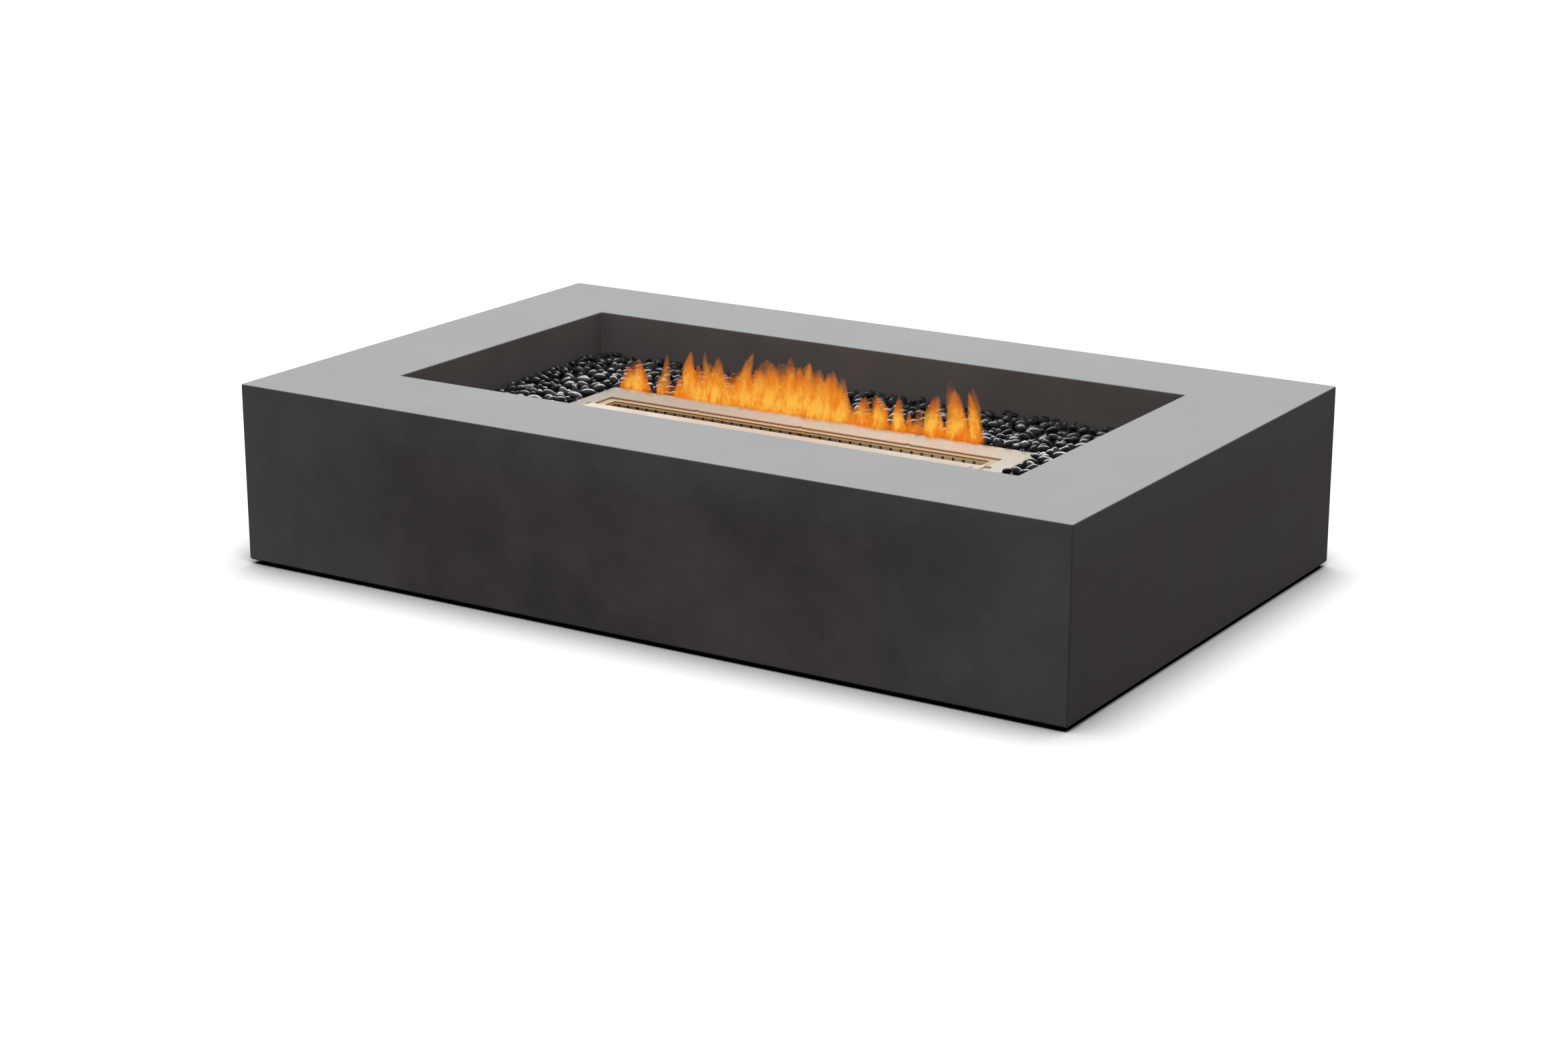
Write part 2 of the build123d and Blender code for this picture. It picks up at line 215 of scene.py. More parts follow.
class PebbleSettings(bpy.types.PropertyGroup):
    """Sizes and colours of the loose stones."""

    longest: FloatProperty(
        name="Longest", description="Length of the longest stone", default=0.037, min=0.001, unit="LENGTH",
    )
    shortest: FloatProperty(
        name="Shortest", description="Length of the shortest stone", default=0.019, min=0.001,
        unit="LENGTH",
    )
    top: FloatProperty(
        name="Top of the bed", description="Height that no stone reaches over", default=PLATE_Z + 0.015,
        min=0, unit="LENGTH",
    )
    layers: FloatProperty(
        name="Layers", description="Times the stones cover the tray", default=4.0, min=0.1,
    )
    lean: FloatProperty(
        name="Lean", description="Usual tilt of a stone", default=math.radians(32), subtype="ANGLE",
    )
    on_edge: FloatProperty(
        name="On edge", description="Share of the stones that stand on edge", default=0.3, min=0, max=1,
        subtype="FACTOR",
    )
    dents: FloatProperty(
        name="Dents", description="Depth of the dents in a stone", default=0.0022, min=0, unit="LENGTH",
    )
    dent_scale: FloatProperty(
        name="Dents per metre", description="How close the dents lie", default=42.0, min=1,
    )
    dark_color: color_setting("Dark stone", "Colour of most stones", (0.0065, 0.0065, 0.007))
    grey_color: color_setting("Grey stone", "Colour of the few pale stones", (0.10, 0.10, 0.105))
    seed: IntProperty(name="Seed", description="Another seed lays another bed", default=11)


class SteelSettings(bpy.types.PropertyGroup):
    """Colours of the burner's sheet steel."""

    plate_color: color_setting("Steel", "Colour of the brushed sheet", (0.74, 0.66, 0.55))
    straw_color: color_setting("Straw tint", "Colour of the sheet warmed by the flame", (0.86, 0.50, 0.20))
    brown_color: color_setting(
        "Brown tint", "Colour of the sheet at the edge of the slot", (0.22, 0.11, 0.04)
    )
    soot_color: color_setting("Soot", "Colour of the combs in the slot", (0.26, 0.20, 0.15))
    slit_soot_and_shade_color: color_setting("Slit soot", "Colour of the combs round their slits", (0.012, 0.009, 0.007))
    # Painted reflection: the rose columns of firelight on the plate behind the slot
    glow_color: color_setting(
        "Rose tint", "Colour of the columns of heat behind the slot", (0.90, 0.58, 0.36)
    )
    # Painted shade: darkens the plate towards its left end, where it mirrors the dark walls
    left_end_shade_color: color_setting(
        "Tarnish", "Tone that dulls the plate towards its left end", (0.65, 0.65, 0.635)
    )
    reach: FloatProperty(
        name="Heat reach", description="How far the tint spreads from the slot", default=0.03,
        min=0.001, unit="LENGTH",
    )


class FlameSettings(bpy.types.PropertyGroup):
    """Colours and sizes of the fire."""

    core_color: color_setting("Core", "Colour of the middle of a flame", (0.98, 0.49, 0.06))
    edge_color: color_setting("Edge", "Colour of the edge and tip of a flame", (0.80, 0.19, 0.012))
    top: FloatProperty(
        name="Highest tip", description="Height that no flame reaches over", default=RIM_Z + 0.0185,
        min=0, unit="LENGTH",
    )
    shows_from: FloatProperty(
        name="Shows from", description="Height over the plate where the flame begins to show",
        default=0.0235, min=0, unit="LENGTH",
    )
    breeze: FloatProperty(
        name="Breeze", description="Direction the flames lean to, from +Y towards -X", default=BREEZE,
        subtype="ANGLE",
    )
    slant: FloatProperty(
        name="Slant", description="Height that a leaning tip seems to gain, per metre of lean",
        default=math.tan(math.radians(16.5)), min=0.01,
    )
    most_lean: FloatProperty(
        name="Most lean", description="Furthest that a tip leans", default=0.13, min=0, unit="LENGTH",
    )
    firelight: FloatProperty(
        name="Firelight", description="How strongly the fire lights what stands round it", default=1.0,
        min=0,
    )
    mirrored: FloatProperty(
        name="Mirrored", description="How strongly polished steel mirrors the fire", default=0.4, min=0,
    )
    seed: IntProperty(name="Seed", description="Another seed bends the flames", default=5)


class StageSettings(bpy.types.PropertyGroup):
    """Studio and camera."""

    camera_place: FloatVectorProperty(
        name="Camera", description="Where the camera stands", subtype="TRANSLATION", unit="LENGTH",
        default=(2.78883, -4.43587, 1.62812),
    )
    camera_pitch: FloatProperty(
        name="Pitch", description="How far the camera looks down", subtype="ANGLE",
        default=math.radians(16.469),
    )
    camera_yaw: FloatProperty(
        name="Yaw", description="How far the camera is turned to the left", subtype="ANGLE",
        default=math.radians(32.230),
    )
    lens: FloatProperty(name="Lens", description="Focal length in mm", default=69.95, min=1)
    floor_color: color_setting("Floor", "Colour of the floor", (0.95, 0.95, 0.95))
    floor_glow: FloatProperty(
        name="Floor glow", description="How much paler the floor looks than its light makes it",
        default=0.26, min=0,
    )
    shadow_reach: FloatProperty(
        name="Shadow reach", description="How far the shadow close to the object spreads", default=0.11,
        min=0, unit="LENGTH",
    )
    sky_light: FloatProperty(name="Sky light", description="Light from all round", default=0.4, min=0)
    sun_light: FloatProperty(
        name="Main light", description="Light from above the camera", default=1.9, min=0,
    )
    sun_spread: FloatProperty(
        name="Main spread", description="Angle that the main light fills", subtype="ANGLE",
        default=math.radians(40),
    )
    sun_tilt: FloatProperty(
        name="Main tilt", description="Angle between the main light and the vertical", subtype="ANGLE",
        default=math.radians(28),
    )
    strip_light: FloatProperty(
        name="Back light", description="Power of the strip light behind the object", default=19.0, min=0,
        unit="POWER",
    )
    gloss_light: FloatProperty(
        name="Gloss light", description="Power of the panel that the stones mirror", default=1050.0, min=0,
        unit="POWER",
    )


class Wiring:
    """Short way to add nodes to one tree and to join them."""

    def __init__(self, tree):
        self.tree = tree

    def join(self, node, inputs):
        """Sets the inputs of a node to values or joins them to sockets."""
        for name, value in inputs.items():
            if isinstance(value, bpy.types.NodeSocket):
                self.tree.links.new(value, node.inputs[name])
            else:
                node.inputs[name].default_value = value

    def add(self, kind, inputs=None, **settings):
        """A node with its settings and its inputs."""
        node = self.tree.nodes.new(kind)
        for name, value in settings.items():
            setattr(node, name, value)
        self.join(node, inputs or {})
        return node

    def math(self, operation, *values):
        """Result of a Math node."""
        return self.add("ShaderNodeMath", dict(enumerate(values)), operation=operation).outputs[0]

    def plus(self, first, second):
        """Sum of two values."""
        return self.math("ADD", first, second)

    def minus(self, first, second):
        """Difference of two values."""
        return self.math("SUBTRACT", first, second)

    def times(self, first, second):
        """Product of two values."""
        return self.math("MULTIPLY", first, second)

    def larger(self, first, second):
        """Larger of two values."""
        return self.math("MAXIMUM", first, second)

    def size(self, value):
        """Value without its sign."""
        return self.math("ABSOLUTE", value)

    def mix(self, share, first, second, blend="MIX"):
        """Colour between two colours."""
        inputs = {0: share, 6: first, 7: second}
        return self.add("ShaderNodeMix", inputs, data_type="RGBA", blend_type=blend).outputs[2]

    def span(self, value, low, high, to_low=0.0, to_high=1.0):
        """Value carried smoothly from one range to another and held at its ends."""
        inputs = {"Value": value, "From Min": low, "From Max": high, "To Min": to_low, "To Max": to_high}
        return self.add("ShaderNodeMapRange", inputs, interpolation_type="SMOOTHSTEP").outputs[0]

    def stretched(self, vector, scale):
        """Coordinates multiplied along each axis."""
        return self.add("ShaderNodeMapping", {"Vector": vector, "Scale": scale}).outputs[0]

    def noise(self, vector, scale, detail=2.0, roughness=0.5):
        """Soft noise."""
        inputs = {"Vector": vector, "Scale": scale, "Detail": detail, "Roughness": roughness}
        return self.add("ShaderNodeTexNoise", inputs).outputs[0]

    def object_place(self):
        """Object coordinates, which are the frame's own."""
        return self.add("ShaderNodeTexCoord").outputs["Object"]

    def split(self, vector):
        """X, Y and Z of a vector."""
        return self.add("ShaderNodeSeparateXYZ", {0: vector}).outputs

    def group(self, tree, inputs):
        """Outputs of a node group."""
        return self.add("ShaderNodeGroup", inputs, node_tree=tree).outputs

    def bump(self, height, distance, strength=1.0, normal=None):
        """Normal roughened by a height."""
        inputs = {"Height": height, "Distance": distance, "Strength": strength}
        if normal is not None:
            inputs["Normal"] = normal
        return self.add("ShaderNodeBump", inputs).outputs[0]

    def background_rays(self):
        """1 for rays that show the background itself: from the camera, mirrored or through glass."""
        rays = self.add("ShaderNodeLightPath").outputs
        seen = self.larger(rays["Is Camera Ray"], rays["Is Glossy Ray"])
        return self.larger(seen, rays["Is Transmission Ray"])


def start_group(name, inputs, outputs):
    """A new shader group with a vector input, values and their results; gives its wiring and inputs."""
    tree = bpy.data.node_groups.new(name, "ShaderNodeTree")
    tree.interface.new_socket("Vector", in_out="INPUT", socket_type="NodeSocketVector")
    for label, default in inputs.items():
        socket = tree.interface.new_socket(label, in_out="INPUT", socket_type="NodeSocketFloat")
        socket.default_value = default
    for label in outputs:
        tree.interface.new_socket(label, in_out="OUTPUT", socket_type="NodeSocketFloat")
    wiring = Wiring(tree)
    return wiring, wiring.add("NodeGroupInput").outputs


def cast_grain_group():
    """Clouds, grain and pinholes of a poured or painted surface."""
    name = "Cast grain"
    if name in bpy.data.node_groups:
        return bpy.data.node_groups[name]
    scales = {"Cloud Scale": 5.0, "Grain Scale": 400.0, "Pit Scale": 50.0}
    wiring, given = start_group(name, scales, ("Clouds", "Grain", "Pits"))
    clouds = wiring.noise(given["Vector"], given["Cloud Scale"], 6.0, 0.62)
    grain = wiring.noise(given["Vector"], given["Grain Scale"], 3.0, 0.7)
    cells = wiring.add("ShaderNodeTexVoronoi", {"Vector": given["Vector"], "Scale": given["Pit Scale"]})
    pitted = wiring.math("GREATER_THAN", wiring.split(cells.outputs["Color"])[0], 0.82)
    pits = wiring.times(wiring.span(cells.outputs["Distance"], 0.045, 0.02), pitted)
    wiring.add("NodeGroupOutput", {"Clouds": wiring.span(clouds, 0.3, 0.7), "Grain": grain, "Pits": pits})
    return wiring.tree


def brushed_grain_group():
    """Fine lines along X of brushed sheet, and slow changes of gloss."""
    name = "Brushed grain"
    if name in bpy.data.node_groups:
        return bpy.data.node_groups[name]
    scales = {"Line Scale": 900.0, "Patch Scale": 14.0}
    wiring, given = start_group(name, scales, ("Lines", "Patches"))
    lines = wiring.noise(wiring.stretched(given["Vector"], (0.012, 1, 1)), given["Line Scale"], 3.0, 0.6)
    patches = wiring.noise(wiring.stretched(given["Vector"], (0.35, 1, 1)), given["Patch Scale"], 4.0, 0.6)
    wiring.add("NodeGroupOutput", {"Lines": lines, "Patches": wiring.span(patches, 0.3, 0.7)})
    return wiring.tree


def heat_tint_group():
    """How much the flame has coloured the steel: 1 at the slot's edge, 0 out of its reach."""
    name = "Heat tint"
    if name in bpy.data.node_groups:
        return bpy.data.node_groups[name]
    wiring, given = start_group(name, {"Reach": 0.03}, ("Straw", "Brown"))
    x, y, _ = wiring.split(given["Vector"])
    from_middle = wiring.size(wiring.minus(y, SLOT_MIDDLE_Y))
    across = wiring.larger(wiring.minus(from_middle, SLOT_HALF_WIDTH), 0.0)
    along = wiring.larger(wiring.minus(wiring.size(x), SLOT_END_X), 0.0)
    away = wiring.math("SQRT", wiring.plus(wiring.times(across, across), wiring.times(along, along)))
    streaks = wiring.noise(wiring.stretched(given["Vector"], (0.12, 1, 1)), 160.0, 3.0, 0.6)
    uneven = wiring.times(wiring.minus(streaks, 0.5), 0.6)
    shares = wiring.plus(wiring.math("DIVIDE", away, given["Reach"]), uneven)
    brown = wiring.span(wiring.plus(away, wiring.times(uneven, 0.002)), 0.0028, 0.0006)
    wiring.add("NodeGroupOutput", {"Straw": wiring.span(shares, 1.0, 0.0), "Brown": brown})
    return wiring.tree


def new_material(name):
    """An empty node material with a Principled shader; gives its wiring and the shader's node."""
    material = bpy.data.materials.new(name)
    material.use_nodes = True
    material.node_tree.nodes.clear()
    wiring = Wiring(material.node_tree)
    shader = wiring.add("ShaderNodeBsdfPrincipled")
    wiring.add("ShaderNodeOutputMaterial", {"Surface": shader.outputs[0]})
    return material, wiring, shader


def color(values):
    """Colour with full opacity, from a colour property."""
    return (*values, 1.0)


def shaded(values, share):
    """Colour made darker or paler by a share, with full opacity."""
    return (*(min(1.0, channel * share) for channel in values), 1.0)


def dress(nodes, material):
    """Gives CAD nodes a finish."""
    for name in nodes:
        slots = frame["nodes"][name].data.materials
        slots.clear()
        slots.append(material)


def well_mask(wiring, x, y):
    """1 on the walls of the well, 0 on the rest of the block."""
    within_length = wiring.math("LESS_THAN", wiring.size(x), WELL_HALF_LENGTH)
    within_width = wiring.math("LESS_THAN", wiring.size(y), WELL_HALF_WIDTH)
    return wiring.times(within_length, within_width)


def wall_light_share(wiring, x, height, on_end, clouds):
    """Painted light on the outer walls, cloudy: paler towards the ends of the front and back, and under the
    rim.
    """
    begins_x, full_x = 0.42, 0.8
    begins_under_rim, full_under_rim, rim_share = 0.1, 0.005, 0.6
    along = wiring.times(wiring.span(wiring.size(x), begins_x, full_x), wiring.minus(1.0, on_end))
    under_rim = wiring.span(height, RIM_Z - begins_under_rim, RIM_Z - full_under_rim, 0.0, rim_share)
    return wiring.times(wiring.larger(along, under_rim), wiring.span(clouds, 0.2, 0.8, 0.55, 1.0))


def corner_painted_shade(wiring, x, y, in_well):
    """Painted shade in the upright corners of the well, darkest right in the fold."""
    reach, gap, fold_sharpness = 0.05, 0.003, 40.0
    to_end = wiring.span(wiring.size(x), WELL_HALF_LENGTH - reach, WELL_HALF_LENGTH - gap)
    to_side = wiring.span(wiring.size(y), WELL_HALF_WIDTH - reach, WELL_HALF_WIDTH - gap)
    corner = wiring.times(wiring.times(to_end, to_side), in_well)
    fold = wiring.times(wiring.math("POWER", corner, fold_sharpness), 0.1)
    return wiring.plus(wiring.times(corner, 0.2), fold)


def concrete_finish(settings):
    """Smooth cast concrete: charcoal walls under a pale top face, whose paleness is partly a two-tone
    finish and partly painted top light; the walls carry painted light and painted shade too.
    """
    end_depth = 0.003
    top_from, top_full = 0.0012, 0.0005
    material, wiring, shader = new_material("cast_concrete")
    place = wiring.object_place()
    x, y, height = wiring.split(place)
    grain = wiring.group(cast_grain_group(), {
        "Vector": place, "Cloud Scale": settings.cloud_scale,
        "Grain Scale": settings.grain_scale, "Pit Scale": settings.pit_scale,
    })
    clouds, pits = grain["Clouds"], grain["Pits"]
    sand = wiring.span(grain["Grain"], 0.6, 0.78)
    wall_color, top_tone_and_light_color = settings.wall_color, settings.top_tone_and_light_color

    in_well = well_mask(wiring, x, y)
    on_end = wiring.math("GREATER_THAN", wiring.size(x), HALF_LENGTH - end_depth)
    # Painted light on the outer walls, left off the well's walls
    painted_wall_light = wiring.times(wall_light_share(wiring, x, height, on_end, clouds), wiring.minus(1.0, in_well))
    wall = wiring.mix(clouds, shaded(wall_color, 0.72), shaded(wall_color, 1.28))
    wall = wiring.mix(wiring.times(sand, 0.35), wall, shaded(wall_color, 2.2))
    wall = wiring.mix(painted_wall_light, wall, color(settings.wall_light_color))
    # Painted shade on the end walls
    wall = wiring.mix(on_end, wall, color(settings.end_shade_color), "MULTIPLY")
    # Ash on the well's walls, partly dust and partly painted light
    wall = wiring.mix(wiring.times(in_well, settings.ash_and_light), wall, color(settings.ash_and_light_color))
    # Painted shade darkens the well's upright corners
    wall = wiring.mix(corner_painted_shade(wiring, x, y, in_well), wall, shaded(wall_color, 0.9))

    # The top face: its own pale tone together with painted light from above
    top = wiring.mix(clouds, shaded(top_tone_and_light_color, 0.965), shaded(top_tone_and_light_color, 1.035))
    top = wiring.mix(wiring.times(sand, 0.12), top, shaded(top_tone_and_light_color, 0.8))
    tint = wiring.mix(wiring.span(height, RIM_Z - top_from, RIM_Z - top_full), wall, top)
    fine = wiring.bump(grain["Grain"], 0.0002, 0.35)
    # Pinholes: dented by the bump and painted dark inside as their shade
    wiring.join(shader, {
        "Base Color": wiring.mix(wiring.times(pits, 0.55), tint, shaded(wall_color, 0.35)),
        "Roughness": wiring.span(clouds, 0.0, 1.0, 0.76, 0.88),
        "Normal": wiring.bump(wiring.minus(1.0, pits), 0.0006, 0.6, fine),
        "Specular IOR Level": 0.15,
    })
    return material


def matte_finish(name, base, roughness, bump_depth):
    """Rubber or matte paint with a fine uneven skin."""
    material, wiring, shader = new_material(name)
    grain = wiring.group(cast_grain_group(), {
        "Vector": wiring.object_place(), "Cloud Scale": 30.0, "Grain Scale": 700.0, "Pit Scale": 90.0,
    })
    wiring.join(shader, {
        "Base Color": wiring.mix(grain["Clouds"], shaded(base, 0.75), shaded(base, 1.3)),
        "Roughness": wiring.span(grain["Clouds"], 0.0, 1.0, roughness - 0.07, roughness + 0.07),
        "Normal": wiring.bump(grain["Grain"], bump_depth, 0.5),
    })
    return material


def painted_flame_reflections(wiring, place):
    """Painted reflection of the flames: soft rose columns on the plate behind the slot, drawn out with the
    breeze.
    """
    fade = 0.03
    x, y, _ = wiring.split(place)
    along = wiring.plus(x, wiring.times(y, math.tan(BREEZE)))
    columns = wiring.noise(wiring.add("ShaderNodeCombineXYZ", {0: along}).outputs[0], 38.0)
    behind = wiring.span(y, SLOT_BACK_Y, SLOT_BACK_Y + fade, 0.0, 0.75)
    within = wiring.span(wiring.size(x), SLOT_END_X + fade, SLOT_END_X - fade)
    return wiring.times(wiring.span(columns, 0.35, 0.65, 0.15, 0.9), wiring.times(behind, within))


def used_plate(wiring, settings, place, tint, cut_edges):
    """Tint of the cover plate with its painted flame reflections, painted shade towards its left end and
    painted shadow on its window's brown edges.
    """
    bright_x, shaded_x, lip = 0.25, -0.4, 0.0014
    x, y, z = wiring.split(place)
    tint = wiring.mix(painted_flame_reflections(wiring, place), tint, color(settings.glow_color))
    # Painted shade towards the plate's left end
    dull = wiring.span(x, bright_x, shaded_x, 0.0, 0.8)
    tint = wiring.mix(dull, tint, color(settings.left_end_shade_color), "MULTIPLY")
    # Painted shadow: the window's edges below the plate's top take the dark brown of the gap under the
    # plate
    inside = wiring.math("LESS_THAN", wiring.size(y), WINDOW_REACH)
    below = wiring.times(wiring.math("LESS_THAN", z, PLATE_Z - lip), inside)
    return wiring.mix(wiring.times(below, cut_edges), tint, color(settings.brown_color))


def steel_finish(name, settings, base, roughness, metal, straw=0.0, brown=0.0, cut_edges=0.0):
    """Brushed sheet steel, tinted by the flame as far as its shares of straw and brown say."""
    material, wiring, shader = new_material(name)
    place = wiring.object_place()
    brushed = wiring.group(brushed_grain_group(), {"Vector": place})
    tint = wiring.mix(brushed["Patches"], shaded(base, 0.94), shaded(base, 1.04))
    tint = wiring.mix(wiring.span(brushed["Lines"], 0.35, 0.7), shaded(base, 0.985), tint)
    if straw or brown:
        heat = wiring.group(heat_tint_group(), {"Vector": place, "Reach": settings.reach})
        tint = wiring.mix(wiring.times(heat["Straw"], straw), tint, color(settings.straw_color))
        tint = wiring.mix(wiring.times(heat["Brown"], brown), tint, color(settings.brown_color))
    if cut_edges:
        tint = used_plate(wiring, settings, place, tint, cut_edges)
    wiring.join(shader, {
        "Base Color": tint, "Metallic": metal,
        "Roughness": wiring.span(brushed["Lines"], 0.3, 0.75, roughness - 0.01, roughness + 0.01),
    })
    return material


def comb_finish(settings):
    """Slotted steel in the slot: a gold band along its top painted paler as light, stained brown below,
    sooty and painted dark as shade round the slits.
    """
    band_from, band_full = 0.0052, 0.0042
    stained_x, bright_x = 0.0, 0.3
    material, wiring, shader = new_material("browned_comb")
    place = wiring.object_place()
    x, _, height = wiring.split(place)
    brushed = wiring.group(brushed_grain_group(), {"Vector": place})
    stains = wiring.span(wiring.noise(wiring.stretched(place, (1, 1, 0.4)), 120.0, 3.0, 0.6), 0.3, 0.5)
    dull = wiring.mix(stains, color(settings.brown_color), color(settings.soot_color))
    dull = wiring.mix(wiring.span(x, stained_x, bright_x, 0.0, 0.7), dull, color(settings.plate_color))
    pitches = wiring.math("DIVIDE", x, SLIT_PITCH)
    from_slit = wiring.size(wiring.minus(wiring.math("FRACT", pitches), 0.5))
    # Soot together with painted shade round each slit
    dull = wiring.mix(wiring.span(from_slit, 0.15, 0.09), dull, color(settings.slit_soot_and_shade_color))
    # The straw heat tint of the band is painted paler than the straw itself, as light on it
    band = wiring.span(height, THROAT_Z - band_from, THROAT_Z - band_full)
    wiring.join(shader, {
        "Base Color": wiring.mix(band, dull, shaded(settings.straw_color, 1.35)), "Metallic": 0.2,
        "Roughness": wiring.span(brushed["Patches"], 0.0, 1.0, 0.45, 0.6),
    })
    return material


def wool_finish(settings):
    """Fibrous white mat."""
    material, wiring, shader = new_material("ceramic_wool")
    place = wiring.object_place()
    along = wiring.noise(wiring.stretched(place, (0.2, 1, 1)), 500.0, 4.0, 0.65)
    across = wiring.noise(wiring.stretched(place, (1, 0.2, 1)), 430.0, 4.0, 0.65)
    fibres = wiring.larger(along, across)
    shade, pale = color(settings.wool_shade_color), color(settings.wool_color)
    wiring.join(shader, {
        "Base Color": wiring.mix(wiring.span(fibres, 0.4, 0.75), shade, pale),
        "Roughness": 0.95, "Normal": wiring.bump(fibres, 0.0012, 0.8),
    })
    return material


def pebble_finish(settings):
    """Polished river stone, mostly black, with faint clouds."""
    material, wiring, shader = new_material("polished_pebble")
    place = wiring.object_place()
    tone = wiring.add("ShaderNodeAttribute", attribute_name="stone_tone").outputs["Fac"]
    body = wiring.mix(tone, color(settings.dark_color), color(settings.grey_color))
    clouds = wiring.span(wiring.noise(place, 90.0, 4.0, 0.6), 0.5, 0.8, 0.0, 0.35)
    wiring.join(shader, {
        "Base Color": wiring.mix(clouds, body, color(settings.grey_color)),
        "Roughness": wiring.span(wiring.noise(place, 45.0), 0.3, 0.7, 0.2, 0.3),
        "Normal": wiring.bump(wiring.noise(place, 260.0, 3.0, 0.6), 0.0005, 0.05),
        "Specular IOR Level": 0.15, "Sheen Weight": 0.2, "Sheen Roughness": 0.3,
    })
    return material


def flame_glow(wiring, settings, place, inward, along, streaks, foot_z):
    """Colour of the gas: yellow in its hot middle, red at its edges, its foot and its tip."""
    licks = wiring.minus(wiring.times(streaks, 1.5), 0.3)
    mottling = wiring.noise(wiring.stretched(place, (1, 1, 0.5)), 210.0, 2.0, 0.6)
    spots = wiring.times(wiring.minus(mottling, 0.5), 0.9)
    heat = wiring.plus(wiring.times(inward, 0.35), wiring.plus(licks, spots))
    height = wiring.split(place)[2]
    heat = wiring.minus(heat, wiring.span(height, foot_z, foot_z + 0.03, 0.4, 0.0))
    heat = wiring.minus(heat, wiring.span(along, 0.45, 0.95, 0.0, 0.6))
    return wiring.mix(wiring.span(heat, 0.2, 0.85), color(settings.edge_color), color(settings.core_color))


def flame_body(wiring, place, inward, along, streaks, foot_z):
    """How much the gas covers: torn at its edges, thin at its tip and its foot."""
    weight = wiring.add("ShaderNodeAttribute", attribute_name="flame_weight").outputs["Fac"]
    wisps = wiring.noise(wiring.stretched(place, (1, 1, 0.45)), 48.0, 3.0, 0.6)
    torn = wiring.times(wiring.minus(wisps, 0.5), wiring.span(along, 0.0, 0.7, 0.3, 1.5))
    edge = wiring.span(wiring.plus(inward, torn), 0.0, 0.6)
    tip = wiring.span(wiring.plus(along, wiring.times(wisps, 0.6)), 1.4, 0.64)
    foot = wiring.span(wiring.split(place)[2], foot_z, foot_z + 0.012)
    dense = wiring.times(wiring.span(streaks, 0.25, 0.6, 0.95, 1.15), weight)
    return wiring.times(wiring.times(wiring.times(edge, tip), foot), wiring.math("MINIMUM", dense, 1.0))


def flame_finish(settings):
    """Glowing gas that thins out at its edges, its tip and its foot."""
    material, wiring, shader = new_material("flame")
    place = wiring.object_place()
    foot_z = PLATE_Z + settings.shows_from
    across, along, _ = wiring.split(wiring.add("ShaderNodeUVMap", uv_map="flame").outputs[0])
    inward = wiring.minus(1.0, wiring.size(wiring.minus(wiring.times(across, 2.0), 1.0)))
    streaks = wiring.noise(wiring.stretched(place, (1, 1, 0.2)), 62.0)
    rays = wiring.add("ShaderNodeLightPath").outputs
    strength = wiring.span(rays["Is Diffuse Ray"], 0.0, 1.0, 1.0, settings.firelight)
    mirrored = wiring.span(rays["Is Glossy Ray"], 0.0, 1.0, 1.0, settings.mirrored)
    wiring.join(shader, {
        "Base Color": (0.0, 0.0, 0.0, 1), "Roughness": 1.0, "Specular IOR Level": 0.0,
        "Emission Color": flame_glow(wiring, settings, place, inward, along, streaks, foot_z),
        "Emission Strength": wiring.times(strength, mirrored),
        "Alpha": flame_body(wiring, place, inward, along, streaks, foot_z),
    })
    return material


def stone_skins(half_axes, turn, cell):
    """Heights of the under and upper skin of a turned stone over a grid, and the grid's half size."""
    axes = np.array(turn)
    spread = axes @ np.diag(np.square(half_axes)) @ axes.T
    form = np.linalg.inv(spread)
    reach_x, reach_y = (int(math.sqrt(spread[k, k]) / cell) + 1 for k in (0, 1))
    x, y = np.meshgrid(
        np.arange(-reach_x, reach_x + 1) * cell, np.arange(-reach_y, reach_y + 1) * cell, indexing="ij"
    )
    slope = form[0, 2] * x + form[1, 2] * y
    rest = form[0, 0] * x * x + 2 * form[0, 1] * x * y + form[1, 1] * y * y - 1
    room = slope * slope - form[2, 2] * rest
    inside = room > 0
    root = np.sqrt(np.where(inside, room, 0))
    under = np.where(inside, (-slope - root) / form[2, 2], np.inf)
    upper = np.where(inside, (-slope + root) / form[2, 2], -np.inf)
    return under, upper, reach_x, reach_y


def thrown_stone(settings, dice):
    """Half axes and turn of one stone, as it is picked up."""
    half = dice.uniform(settings.shortest, settings.longest) / 2
    half_axes = (half, half * dice.uniform(0.58, 0.8), half * dice.uniform(0.4, 0.55))
    tilt = dice.gauss(0, settings.lean)
    if dice.random() < settings.on_edge:
        tilt = dice.uniform(math.radians(50), math.radians(80))
    yaw, spin = dice.uniform(0, math.tau), dice.uniform(0, math.tau)
    turn = Matrix.Rotation(yaw, 3, "Z") @ Matrix.Rotation(tilt, 3, "X") @ Matrix.Rotation(spin, 3, "Z")
    return half_axes, turn


def resting_place(cells, reach, dice):
    """Cell where a stone may come to lie, often right against a side of the bed."""
    against_side = 0.18
    chance = dice.random()
    if chance < against_side:
        return reach
    if chance > 1 - against_side:
        return cells - 1 - reach
    return dice.randint(reach, cells - 1 - reach)


